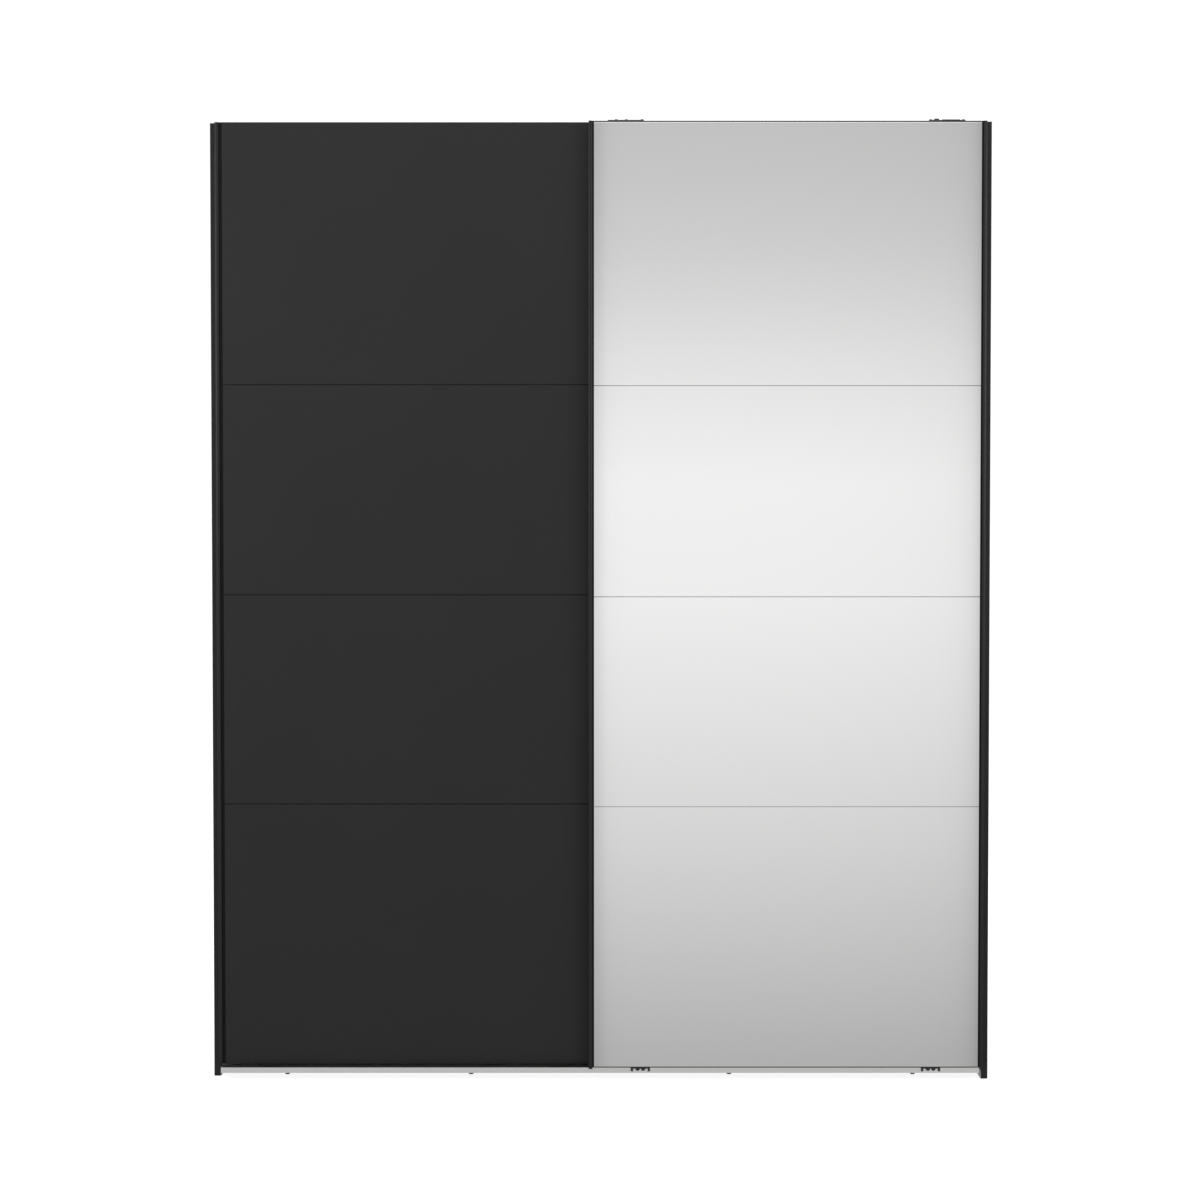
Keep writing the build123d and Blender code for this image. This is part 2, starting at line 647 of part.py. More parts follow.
def grip_stile(edge, side, face, reveal):
    """A crowned profile that wraps one vertical edge of a door; side is -1 at the door's left edge."""
    grip_x = span(edge, -side * GRIP_FACE)
    crown_front = face - GRIP_PROUD
    core_front = face + PANE
    back = face + DOOR_DEPTH
    z = (DOOR_BOTTOM, DOOR_TOP)
    with BuildPart() as stile:
        with BuildSketch(Plane.XY.offset(DOOR_BOTTOM - GRIP_DROP)):
            with BuildLine():
                crown = ThreePointArc(
                    (grip_x[0], crown_front + GRIP_CROWN),
                    ((grip_x[0] + grip_x[1]) / 2, crown_front),
                    (grip_x[1], crown_front + GRIP_CROWN),
                )
                Polyline(crown @ 1, (grip_x[1], core_front), (grip_x[0], core_front), crown @ 0)
            make_face()
        extrude(amount=DOOR_TOP - DOOR_BOTTOM + GRIP_DROP)
        add(block(span(edge - side * GRIP_FACE, -side * reveal), (core_front - STILE_SHEET, core_front), z))
        add(block(span(edge, -side * STILE_WEB), (core_front, back), z))
        add(block(span(edge, -side * STILE_FLANGE), (back, back + STILE_SHEET), z))
    return drilled(stile.part, stile_screw_planes(edge - side * STILE_FLANGE / 2, back), STILE_SHEET)


def between_grips(edges, reveal):
    """The limits of the panes between a door's two edge profiles."""
    inset = GRIP_FACE + reveal + PANE_PLAY
    return (edges[0] + inset, edges[1] - inset)


def brush_strip(edge, side, face):
    """A pile strip behind a door's closing edge, almost reaching the side panel's front edge."""
    root = face + DOOR_DEPTH + STILE_SHEET
    middle = edge - side * BRUSH_INSET
    z = (DOOR_BOTTOM + BRUSH_END_GAP, DOOR_TOP - BRUSH_END_GAP)
    with BuildPart() as strip:
        add(block((middle - BRUSH_WIDTH / 2, middle + BRUSH_WIDTH / 2), (root, root + BRUSH_BASE), z))
        add(block((middle - PILE_WIDTH / 2, middle + PILE_WIDTH / 2), (root, root + BRUSH_REACH), z))
    return strip.part


def guide_leg(x, rear_y):
    """One leg of a bottom guide: a bar with two end legs and two round lobes between them."""
    end_x = (GUIDE_LENGTH - GUIDE_END) / 2
    bar_base = GUIDE_PLATE_Z - GUIDE_BAR
    with BuildPart() as leg:
        with BuildSketch(Plane.XZ.offset(-rear_y)):
            with Locations(*[(x + side * GUIDE_LOBE_X, bar_base) for side in (-1, 1)]):
                Circle(GUIDE_LOBE_RADIUS)
            with Locations((x, GUIDE_PLATE_Z + GUIDE_LENGTH / 2)):
                Rectangle(GUIDE_LENGTH, GUIDE_LENGTH, mode=Mode.SUBTRACT)
            with Locations((x, GUIDE_PLATE_Z - GUIDE_BAR / 2)):
                Rectangle(GUIDE_LENGTH, GUIDE_BAR)
            with Locations(*[(x + side * end_x, GUIDE_PLATE_Z - GUIDE_DROP / 2) for side in (-1, 1)]):
                Rectangle(GUIDE_END, GUIDE_DROP)
        extrude(amount=GUIDE_LEG)
    return leg.part


def bottom_guide(x, lip_y):
    """A fork under the door that straddles one lip of the bottom rail, with an ear for its screws."""
    width = (x - GUIDE_LENGTH / 2, x + GUIDE_LENGTH / 2)
    with BuildPart() as guide:
        add(block(width, (lip_y - GUIDE_HALF, lip_y + GUIDE_HALF + GUIDE_EAR), (GUIDE_PLATE_Z, DOOR_BOTTOM)))
        add(guide_leg(x, lip_y - GUIDE_HALF + GUIDE_LEG))
        add(guide_leg(x, lip_y + GUIDE_HALF))
    return drilled(guide.part, guide_screw_planes(x, lip_y), GUIDE_PLATE)


def axle(x, plate_y, way, lane):
    """A shouldered axle from a carrier plate through one wheel."""
    near_side = abs(lane - plate_y) - WHEEL_WIDTH / 2 - AXLE_PLAY
    far_side = abs(lane - plate_y) + WHEEL_WIDTH / 2 + AXLE_PLAY
    root = Plane(origin=(x, plate_y, AXLE_Z), z_dir=way)
    with BuildPart() as pin:
        with BuildSketch(root):
            Circle(AXLE_COLLAR_RADIUS)
        extrude(amount=near_side)
        with BuildSketch(root):
            Circle(AXLE_RADIUS)
        extrude(amount=far_side)
        with BuildSketch(root.offset(far_side)):
            Circle(AXLE_HEAD_RADIUS)
        extrude(amount=AXLE_HEAD)
    return pin.part


def wheel(x, lane):
    """A flat-treaded nylon wheel with a seat for its bearing."""
    near = Plane(origin=(x, lane - WHEEL_WIDTH / 2, AXLE_Z), z_dir=BACKWARD)
    with BuildPart() as tyre:
        with BuildSketch(near):
            Circle(WHEEL_RADIUS)
        extrude(amount=WHEEL_WIDTH)
        fillet(tyre.edges(), WHEEL_EDGE)
    return bored(tyre.part, [near.offset(WHEEL_WIDTH)], BEARING_RADIUS, WHEEL_WIDTH)


def bearing(x, lane):
    """A small ball bearing pressed into the wheel, with a ring groove in each face."""
    race = (BEARING_RADIUS + AXLE_RADIUS) / 2
    near = Plane(origin=(x, lane - BEARING_WIDTH / 2, AXLE_Z), z_dir=BACKWARD)
    with BuildPart() as ring:
        with BuildSketch(near):
            Circle(BEARING_RADIUS)
            Circle(AXLE_RADIUS + RUNNING_PLAY, mode=Mode.SUBTRACT)
        extrude(amount=BEARING_WIDTH)
        for face, depth in ((near, RACE_DEPTH), (near.offset(BEARING_WIDTH), -RACE_DEPTH)):
            with BuildSketch(face):
                Circle(race + RACE_HALF_WIDTH)
                Circle(race - RACE_HALF_WIDTH, mode=Mode.SUBTRACT)
            extrude(amount=depth, mode=Mode.SUBTRACT)
    return ring.part


def save_common_pieces(door, carriers, guides, edges, back, lip_y, plate_y, way, lane):
    """Writes the wheels, bearings, axles, guides and screws of one door; returns its screw planes."""
    back_planes = []
    for x in carriers:
        back_planes += carrier_screw_planes(x, back)
    for x, side in zip(edges, (1, -1)):
        back_planes += stile_screw_planes(x + side * STILE_FLANGE / 2, back)
    guide_planes = []
    for x in guides:
        guide_planes += guide_screw_planes(x, lip_y)
    for place, x in zip(("left", "right"), carriers):
        save(wheel(x, lane), f"{door}_door_wheel_{place}")
        save(bearing(x, lane), f"{door}_door_bearing_{place}")
    save(together([axle(x, plate_y, way, lane) for x in carriers]), f"{door}_door_axles")
    save(together([bottom_guide(x, lip_y) for x in guides]), f"{door}_door_guides")
    all_screws = [pan_screws(back_planes), pan_screws(guide_planes, GUIDE_SCREW_HEAD)]
    save(together(all_screws), f"{door}_door_screws")
    return back_planes, guide_planes


# ---------------------------------------------------------------- graphite door, rear lane

graphite_edges = (-CLOSING_EDGE, -INNER_EDGE)
graphite_carriers = (-CLOSING_CARRIER_X, -INNER_CARRIER_X)
graphite_guides = (-CLOSING_GUIDE_X, -INNER_GUIDE_X)
graphite_plate_y = GRAPHITE_BACK + CARRIER_SHEET
graphite_core_x = (graphite_edges[0] + STILE_WEB, graphite_edges[1] - STILE_WEB)

graphite_planes = save_common_pieces(
    "graphite",
    graphite_carriers,
    graphite_guides,
    graphite_edges,
    GRAPHITE_BACK,
    GRAPHITE_LIP_Y,
    graphite_plate_y,
    BACKWARD,
    REAR_LANE_Y,
)
graphite_field_x = between_grips(graphite_edges, GRAPHITE_REVEAL)
save(door_core(graphite_core_x, GRAPHITE_BACK, *graphite_planes), "graphite_door_core")
for index in range(4):
    field = door_field(graphite_field_x, GRAPHITE_FACE, index, GRAPHITE_JOINT, REAR_SEAM_LIFT, 0)
    save(field, f"graphite_door_field_{index + 1}")
for place, edge, side in (("left", graphite_edges[0], -1), ("right", graphite_edges[1], 1)):
    save(grip_stile(edge, side, GRAPHITE_FACE, GRAPHITE_REVEAL), f"graphite_door_stile_{place}")
save(brush_strip(graphite_edges[0], -1, GRAPHITE_FACE), "graphite_door_brush")


def flat_carrier(x):
    """A steel plate on the back of the door's top that holds one wheel."""
    width = (x - CARRIER_WIDTH / 2, x + CARRIER_WIDTH / 2)
    with BuildPart() as plate:
        add(block(width, (GRAPHITE_BACK, graphite_plate_y), (CARRIER_FOOT, AXLE_Z + WHEEL_RADIUS)))
        fillet(plate.edges().filter_by(Axis.Y), CARRIER_BEND)
    return drilled(plate.part, carrier_screw_planes(x, GRAPHITE_BACK), CARRIER_SHEET)


save(flat_carrier(graphite_carriers[0]), "graphite_door_carrier_left")
save(flat_carrier(graphite_carriers[1]), "graphite_door_carrier_right")

# ---------------------------------------------------------------- mirror door, front lane

mirror_edges = (INNER_EDGE, CLOSING_EDGE)
mirror_carriers = (INNER_CARRIER_X, CLOSING_CARRIER_X)
mirror_guides = (INNER_GUIDE_X, CLOSING_GUIDE_X)
mirror_plate_y = MIRROR_BACK + CARRIER_SHEET
mirror_core_x = (mirror_edges[0] + STILE_WEB, mirror_edges[1] - STILE_WEB)
mirror_glass_x = between_grips(mirror_edges, MIRROR_REVEAL)
drop_plate_y = FRONT_LANE_Y + WHEEL_WIDTH / 2 + AXLE_PLAY + AXLE_COLLAR_RADIUS
drop_plate_foot = RUNNING_SURFACE + TRACK_LIP_HEIGHT + DROP_PLATE_LIFT

mirror_planes = save_common_pieces(
    "mirror",
    mirror_carriers,
    mirror_guides,
    mirror_edges,
    MIRROR_BACK,
    MIRROR_LIP_Y,
    drop_plate_y,
    FORWARD,
    FRONT_LANE_Y,
)
save(door_core(mirror_core_x, MIRROR_BACK, *mirror_planes), "mirror_door_core")
for index in range(4):
    mirror = door_field(mirror_glass_x, MIRROR_FACE, index, MIRROR_JOINT, 0, MIRROR_TOP_REVEAL)
    save(mirror, f"mirror_door_mirror_{index + 1}")
save(grip_stile(mirror_edges[0], -1, MIRROR_FACE, MIRROR_REVEAL), "mirror_door_handle_stile")
save(grip_stile(mirror_edges[1], 1, MIRROR_FACE, MIRROR_REVEAL), "mirror_door_stile_right")
save(brush_strip(mirror_edges[1], 1, MIRROR_FACE), "mirror_door_brush")


def over_carrier(x):
    """A strap over the rear door's top edge that hangs the front door from the far lane."""
    with BuildPart() as strap:
        with BuildSketch(Plane.YZ.offset(x - CARRIER_WIDTH / 2)):
            with BuildLine():
                Polyline(
                    (MIRROR_BACK, CARRIER_FOOT),
                    (MIRROR_BACK, ARM_TOP),
                    (drop_plate_y + CARRIER_SHEET, ARM_TOP),
                    (drop_plate_y + CARRIER_SHEET, drop_plate_foot),
                    (drop_plate_y, drop_plate_foot),
                    (drop_plate_y, ARM_BASE),
                    (mirror_plate_y, ARM_BASE),
                    (mirror_plate_y, CARRIER_FOOT),
                    close=True,
                )
            make_face()
        extrude(amount=CARRIER_WIDTH)
        fillet(strap.edges().filter_by(Axis.X).filter_by_position(Axis.Z, ARM_TOP, ARM_TOP), CARRIER_BEND)
    return drilled(strap.part, carrier_screw_planes(x, MIRROR_BACK), CARRIER_SHEET)


inner_x, closing_x = mirror_carriers
adjuster_y = mirror_plate_y + ADJUSTER_INSET
save(over_carrier(inner_x), "mirror_door_carrier_left")

with BuildPart() as clamped_carrier:
    add(over_carrier(closing_x))
    with BuildSketch(Plane.XY.offset(ARM_TOP)):
        with Locations((closing_x + CLAMP_SHIFT, adjuster_y)):
            Rectangle(CLAMP_WIDTH, CLAMP_DEPTH)
    extrude(amount=CLAMP_HEIGHT)
save(clamped_carrier.part, "mirror_door_carrier_right")

lock_places = [(inner_x + dx, adjuster_y) for dx in INNER_LOCK_X]
lock_places += [(closing_x + dx, adjuster_y) for dx in CLOSING_LOCK_X]
with BuildPart() as carrier_adjusters:
    with BuildSketch(Plane.XY.offset(ARM_TOP)):
        with Locations(*lock_places):
            Circle(LOCK_RADIUS)
    extrude(amount=LOCK_HEIGHT)
    with BuildSketch(Plane.XY.offset(ARM_TOP)):
        with Locations((closing_x + SETTING_X, adjuster_y)):
            RegularPolygon(SETTING_RADIUS, 6)
    extrude(amount=SETTING_HEIGHT)
save(carrier_adjusters.part, "mirror_door_adjusters")
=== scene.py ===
import math
import random

import bpy
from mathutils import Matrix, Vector


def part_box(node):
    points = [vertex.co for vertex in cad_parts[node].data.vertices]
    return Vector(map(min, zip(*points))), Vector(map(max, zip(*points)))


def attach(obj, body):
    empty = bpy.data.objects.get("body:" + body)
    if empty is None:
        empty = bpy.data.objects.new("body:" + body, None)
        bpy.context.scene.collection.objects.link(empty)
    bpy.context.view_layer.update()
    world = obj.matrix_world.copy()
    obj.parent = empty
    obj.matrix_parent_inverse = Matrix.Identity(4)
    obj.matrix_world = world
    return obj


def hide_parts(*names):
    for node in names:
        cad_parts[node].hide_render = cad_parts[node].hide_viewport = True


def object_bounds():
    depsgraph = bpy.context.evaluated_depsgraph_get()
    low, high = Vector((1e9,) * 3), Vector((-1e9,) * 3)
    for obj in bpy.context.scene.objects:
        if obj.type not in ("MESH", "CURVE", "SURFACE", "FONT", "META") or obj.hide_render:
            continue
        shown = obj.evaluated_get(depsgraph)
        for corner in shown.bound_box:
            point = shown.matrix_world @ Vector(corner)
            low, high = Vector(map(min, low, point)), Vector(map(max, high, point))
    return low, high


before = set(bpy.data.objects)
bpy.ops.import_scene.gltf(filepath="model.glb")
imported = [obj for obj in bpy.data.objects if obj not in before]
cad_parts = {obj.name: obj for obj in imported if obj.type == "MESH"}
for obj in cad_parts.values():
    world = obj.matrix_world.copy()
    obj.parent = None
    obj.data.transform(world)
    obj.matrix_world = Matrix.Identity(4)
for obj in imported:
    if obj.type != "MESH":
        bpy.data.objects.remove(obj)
cad_low, cad_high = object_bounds()

# ---------------------------------------------------------------- camera and studio

MM = 0.001  # everything is in metres, with X to the right, -Y to the front and Z up

CAMERA_DISTANCE = 8.0  # from the front door's profiles
CAMERA_HEIGHT = 1.453
CAMERA_SIDEWAYS = 0.0
CAMERA_TILT = 2.47  # degrees downwards
CAMERA_LENS = 104.95
SENSOR_WIDTH = 36.0
CLIP_NEAR = 0.1
CLIP_FAR = 200.0

FLOOR_RADIUS = 60.0
FLOOR_CORNERS = 96
FLOOR_GLOW = 0.90
FLOOR_PAINT = 0.4

# how bright the studio is in a direction, by the sine of its angle above the horizon:
# fitted to the brightness that the photo's mirrors show from top to bottom
STUDIO_SKY = [
    (-0.60, 0.40),
    (-0.20, 0.47),
    (-0.173, 0.50),
    (-0.148, 0.606),
    (-0.113, 0.748),
    (-0.079, 0.866),
    (-0.044, 0.974),
    (-0.010, 1.007),
    (0.008, 0.946),
    (0.025, 0.875),
    (0.042, 0.782),
    (0.059, 0.701),
    (0.077, 0.648),
    (0.094, 0.613),
    (0.130, 0.58),
    (0.60, 0.56),
]
SKY_SCALE = 1.2  # a curve holds values up to 1, so it holds the sky divided by this
BACKDROP_WHITE = 1.05
WHITE = (1.0, 1.0, 1.0, 1.0)

# name, place, height of the point it is turned to, width, height, power
SOFTBOXES = [
    ("key_left", (-2.7, -3.4, 1.9), 1.6, 2.0, 1.2, 24.0),
    ("key_right", (2.7, -3.4, 1.9), 1.6, 2.0, 1.2, 26.0),
    ("key_top", (-0.3, -3.2, 3.6), 1.3, 2.4, 1.0, 14.0),
    ("back", (0.0, 4.6, 3.6), 1.2, 4.0, 2.0, 90.0),
    ("top", (0.0, 0.4, 5.2), 1.0, 4.0, 3.0, 60.0),
]


def shape_curve(node, stops):
    """Lays a curve node's curve straight from stop to stop."""
    points = node.mapping.curves[0].points
    points[0].location, points[1].location = stops[0], stops[-1]
    for stop in stops[1:-1]:
        points.new(*stop)
    for point in points:
        point.handle_type = "VECTOR"
    node.mapping.update()


def look_at(thing, target):
    """Turns a lamp or camera, which look along -Z, towards a point."""
    thing.rotation_euler = (Vector(target) - thing.location).to_track_quat("-Z", "Y").to_euler()


def add_camera():
    """The photo's camera: straight on, tilted slightly down."""
    data = bpy.data.cameras.new("camera")
    data.lens = CAMERA_LENS
    data.sensor_width = SENSOR_WIDTH
    data.clip_start, data.clip_end = CLIP_NEAR, CLIP_FAR
    camera = bpy.data.objects.new("camera", data)
    bpy.context.scene.collection.objects.link(camera)
    camera.location = (CAMERA_SIDEWAYS, cad_low.y - CAMERA_DISTANCE, CAMERA_HEIGHT)
    camera.rotation_euler = (math.radians(90.0 - CAMERA_TILT), 0.0, 0.0)
    bpy.context.scene.camera = camera


def add_softbox(name, place, target, width, height, power):
    """A rectangular lamp that faces a point."""
    data = bpy.data.lights.new(name, "AREA")
    data.shape = "RECTANGLE"
    data.size, data.size_y, data.energy = width, height, power
    lamp = bpy.data.objects.new(name, data)
    bpy.context.scene.collection.objects.link(lamp)
    lamp.location = place
    look_at(lamp, target)


def add_floor():
    """A wide pale disc, hidden from reflections and from bounced light."""
    angles = [math.tau * i / FLOOR_CORNERS for i in range(FLOOR_CORNERS)]
    points = [(FLOOR_RADIUS * math.cos(a), FLOOR_RADIUS * math.sin(a), 0.0) for a in angles]
    mesh = bpy.data.meshes.new("floor")
    mesh.from_pydata(points, [], [tuple(range(FLOOR_CORNERS))])
    floor = bpy.data.objects.new("floor", mesh)
    bpy.context.scene.collection.objects.link(floor)
    floor.visible_glossy = False
    floor.visible_diffuse = False
    material = bpy.data.materials.new("studio_floor")
    material.use_nodes = True
    tree = material.node_tree
    tree.nodes.clear()
    out = tree.nodes.new("ShaderNodeOutputMaterial")
    total = tree.nodes.new("ShaderNodeAddShader")
    glow = tree.nodes.new("ShaderNodeEmission")
    glow.inputs["Strength"].default_value = FLOOR_GLOW
    paint = tree.nodes.new("ShaderNodeBsdfDiffuse")
    paint.inputs["Color"].default_value = (FLOOR_PAINT, FLOOR_PAINT, FLOOR_PAINT, 1.0)
    tree.links.new(glow.outputs[0], total.inputs[0])
    tree.links.new(paint.outputs[0], total.inputs[1])
    tree.links.new(total.outputs[0], out.inputs["Surface"])
    mesh.materials.append(material)


def add_world():
    """Plain white for the camera, and a gradient by height for everything that it lights."""
    world = bpy.data.worlds.new("studio")
    bpy.context.scene.world = world
    world.use_nodes = True
    tree = world.node_tree
    tree.nodes.clear()
    out = tree.nodes.new("ShaderNodeOutputWorld")
    sky = tree.nodes.new("ShaderNodeBackground")
    plain = tree.nodes.new("ShaderNodeBackground")
    plain.inputs["Strength"].default_value = BACKDROP_WHITE
    mix = tree.nodes.new("ShaderNodeMixShader")
    path = tree.nodes.new("ShaderNodeLightPath")
    place = tree.nodes.new("ShaderNodeTexCoord")
    split = tree.nodes.new("ShaderNodeSeparateXYZ")
    curve = tree.nodes.new("ShaderNodeFloatCurve")
    plain.inputs["Color"].default_value = WHITE
    sky.inputs["Color"].default_value = WHITE
    low, high = STUDIO_SKY[0][0], STUDIO_SKY[-1][0]
    spread = tree.nodes.new("ShaderNodeMapRange")
    spread.inputs["From Min"].default_value = low
    spread.inputs["From Max"].default_value = high
    stops = [((sine - low) / (high - low), value / SKY_SCALE) for sine, value in STUDIO_SKY]
    shape_curve(curve, stops)
    gain = tree.nodes.new("ShaderNodeMath")
    gain.operation = "MULTIPLY"
    gain.inputs[1].default_value = SKY_SCALE
    tree.links.new(place.outputs["Generated"], split.inputs[0])
    tree.links.new(split.outputs["Z"], spread.inputs["Value"])
    tree.links.new(spread.outputs["Result"], curve.inputs["Value"])
    tree.links.new(curve.outputs["Value"], gain.inputs[0])
    tree.links.new(gain.outputs[0], sky.inputs["Strength"])
    tree.links.new(path.outputs["Is Camera Ray"], mix.inputs[0])
    tree.links.new(sky.outputs[0], mix.inputs[1])
    tree.links.new(plain.outputs[0], mix.inputs[2])
    tree.links.new(mix.outputs[0], out.inputs["Surface"])


def add_studio():
    """Sets up the world, the floor and the lamps."""
    bpy.context.scene.view_settings.view_transform = "Standard"
    add_world()
    add_floor()
    middle = (cad_low + cad_high) / 2
    for name, place, target, width, height, power in SOFTBOXES:
        add_softbox(name, place, (middle.x, middle.y, target), width, height, power)


# ---------------------------------------------------------------- materials


class Surface:
    """One procedural material. Its textures are laid out in the object's own place, in metres."""

    def __init__(self, name, colour, roughness, metallic=0.0, specular=0.5):
        self.material = bpy.data.materials.new(name)
        self.material.use_nodes = True
        self.tree = self.material.node_tree
        self.shader = self.tree.nodes["Principled BSDF"]
        self.shader.inputs["Base Color"].default_value = (*colour, 1.0)
        self.shader.inputs["Roughness"].default_value = roughness
        self.shader.inputs["Metallic"].default_value = metallic
        self.shader.inputs["Specular IOR Level"].default_value = specular
        self.place = self.tree.nodes.new("ShaderNodeTexCoord")

    def node(self, kind, **settings):
        made = self.tree.nodes.new(kind)
        for key, value in settings.items():
            setattr(made, key, value)
        return made

    def link(self, source, target):
        self.tree.links.new(source, target)

    def feed(self, socket, value):
        """Puts a number, a colour or another node's output into a socket."""
        if isinstance(value, bpy.types.NodeSocket):
            self.link(value, socket)
        else:
            socket.default_value = value

    def stretched(self, scale):
        """The place, scaled by a different number along X, Y and Z."""
        mapping = self.node("ShaderNodeMapping")
        mapping.inputs["Scale"].default_value = scale
        self.link(self.place.outputs["Object"], mapping.inputs["Vector"])
        return mapping.outputs["Vector"]

    def noise(self, scale, detail=2.0, roughness=0.5, vector=None):
        """Fractal noise, mostly from NOISE_LOW to NOISE_HIGH."""
        made = self.node("ShaderNodeTexNoise")
        made.inputs["Scale"].default_value = scale
        made.inputs["Detail"].default_value = detail
        made.inputs["Roughness"].default_value = roughness
        self.link(vector or self.place.outputs["Object"], made.inputs["Vector"])
        return made.outputs["Fac"]

    def sum(self, operation, first, second=0.0, third=0.0):
        """One arithmetic step."""
        made = self.node("ShaderNodeMath", operation=operation)
        self.feed(made.inputs[0], first)
        self.feed(made.inputs[1], second)
        self.feed(made.inputs[2], third)
        return made.outputs[0]

    def spread(self, value, low, high, to_low=0.0, to_high=1.0):
        """The value, stretched from one range to another and held at its ends."""
        made = self.node("ShaderNodeMapRange")
        self.feed(made.inputs["Value"], value)
        made.inputs["From Min"].default_value = low
        made.inputs["From Max"].default_value = high
        made.inputs["To Min"].default_value = to_low
        made.inputs["To Max"].default_value = to_high
        return made.outputs["Result"]

    def blend(self, fac, first, second):
        """A colour between two others."""
        made = self.node("ShaderNodeMix", data_type="RGBA")
        self.feed(made.inputs["Factor"], fac)
        self.feed(made.inputs["A"], (*first, 1.0) if isinstance(first, tuple) else first)
        self.feed(made.inputs["B"], (*second, 1.0) if isinstance(second, tuple) else second)
        return made.outputs["Result"]

    def colour(self, value):
        self.link(value, self.shader.inputs["Base Color"])

    def rough(self, value):
        self.link(value, self.shader.inputs["Roughness"])

    def bump(self, height, distance):
        """Relief of that many metres."""
        made = self.node("ShaderNodeBump")
        made.inputs["Distance"].default_value = distance
        self.link(height, made.inputs["Height"])
        self.link(made.outputs["Normal"], self.shader.inputs["Normal"])

    def part_of(self, output, name):
        """One axis of the object's own place or normal."""
        split = self.node("ShaderNodeSeparateXYZ")
        self.link(self.place.outputs[output], split.inputs[0])
        return split.outputs[name]

    def lines(self, scale):
        """Noise drawn out into fine lines by unequal scales."""
        return self.noise(1.0, LINE_DETAIL, LINE_SHARPNESS, self.stretched(scale))

    def tone(self, grain):
        """The grain from 0 to 1."""
        return self.spread(grain, NOISE_LOW, NOISE_HIGH)

    def strong_tone(self, grain):
        """The grain from 0 to 1, with more contrast."""
        return self.spread(grain, STRONG_LOW, STRONG_HIGH)

    def swing(self, grain, middle, reach):
        """The grain as a value that swings about a middle one."""
        return self.spread(grain, NOISE_LOW, NOISE_HIGH, middle - reach, middle + reach)


def shade(colour, factor):
    """The colour, made lighter or darker."""
    return tuple(min(1.0, c * factor) for c in colour)


def swung(colour, reach):
    """A darker and a lighter shade of the colour."""
    return shade(colour, 1.0 - reach), shade(colour, 1.0 + reach)


NOISE_LOW, NOISE_HIGH = 0.3, 0.7
STRONG_LOW, STRONG_HIGH = 0.35, 0.65

# a board's colour swings with a pearl embossing and with wide, faint clouds
GRAPHITE = (0.0160, 0.0158, 0.0157)
GRAPHITE_BOARD = (0.0170, 0.0168, 0.0167)
LIGHT_GREY = (0.53, 0.53, 0.52)
SIDE_SWING, DARK_SWING, LIGHT_SWING = 0.08, 0.06, 0.02
PEARL_DETAIL, PEARL_SHARPNESS, PEARL_SHARE = 3.0, 0.6, 0.35
CLOUD_SCALE, CLOUD_DETAIL, CLOUD_SHARE = 3.5, 3.0, 0.65
BOARD_SPECULAR = 0.3
BOARD_ROUGHNESS_SWING = 0.06
INWARD_NONE, INWARD_FULL = -0.2, -0.4  # X times the normal's X, negative on inner faces

# size of the pearls, their depth, roughness
BOARD_FINISH = (1.1 * MM, 0.02 * MM, 0.52)
FRONT_FINISH = (0.8 * MM, 0.012 * MM, 0.50)


def melamine(name, colour, finish, reach, inside=None):
    """Matt melamine; a second colour is for the faces that look towards X = 0."""
    pearl, depth, roughness = finish
    made = Surface(name, colour, roughness, specular=BOARD_SPECULAR)
    grains = made.noise(1.0 / pearl, PEARL_DETAIL, PEARL_SHARPNESS)
    clouds = made.sum("MULTIPLY", made.noise(CLOUD_SCALE, CLOUD_DETAIL), CLOUD_SHARE)
    tone = made.strong_tone(made.sum("MULTIPLY_ADD", grains, PEARL_SHARE, clouds))
    outcome = made.blend(tone, *swung(colour, reach))
    if inside:
        facing = made.sum("MULTIPLY", made.part_of("Object", "X"), made.part_of("Normal", "X"))
        inward = made.spread(facing, INWARD_NONE, INWARD_FULL)
        outcome = made.blend(inward, outcome, made.blend(tone, *swung(inside, LIGHT_SWING)))
    made.colour(outcome)
    made.rough(made.swing(grains, roughness, BOARD_ROUGHNESS_SWING))
    made.bump(grains, depth)
    return made.material


SILVER = (0.872, 0.869, 0.868)
# painted shade: the mirror's colour is blended towards this black near its left and right edges
MIRROR_FULL_SHADE = (0.0, 0.0, 0.0)
GROUND_GLASS = (0.30, 0.36, 0.34)
MIRROR_ROUGHNESS = 0.03
MIRROR_CLEAREST, MIRROR_DULLEST = 0.020, 0.032
MIRROR_SCALE, MIRROR_DETAIL = 6.0, 1.0

# a mirror's brightness by the distance from its left edge in metres: fitted to the
# photo's shading, which a real mirror gets from its surroundings and not from its glass
MIRROR_EDGE_SHADE = [
    (0.0000, 0.80),
    (0.0150, 0.87),
    (0.0290, 0.955),
    (0.0430, 0.98),
    (0.0800, 1.00),
    (0.3000, 1.00),
    (0.4770, 0.994),
    (0.6000, 0.984),
    (0.7080, 0.972),
    (0.7900, 0.955),
    (0.8300, 0.930),
    (0.8460, 0.905),
    (0.8620, 0.865),
    (0.8740, 0.800),
    (0.8844, 0.690),
]


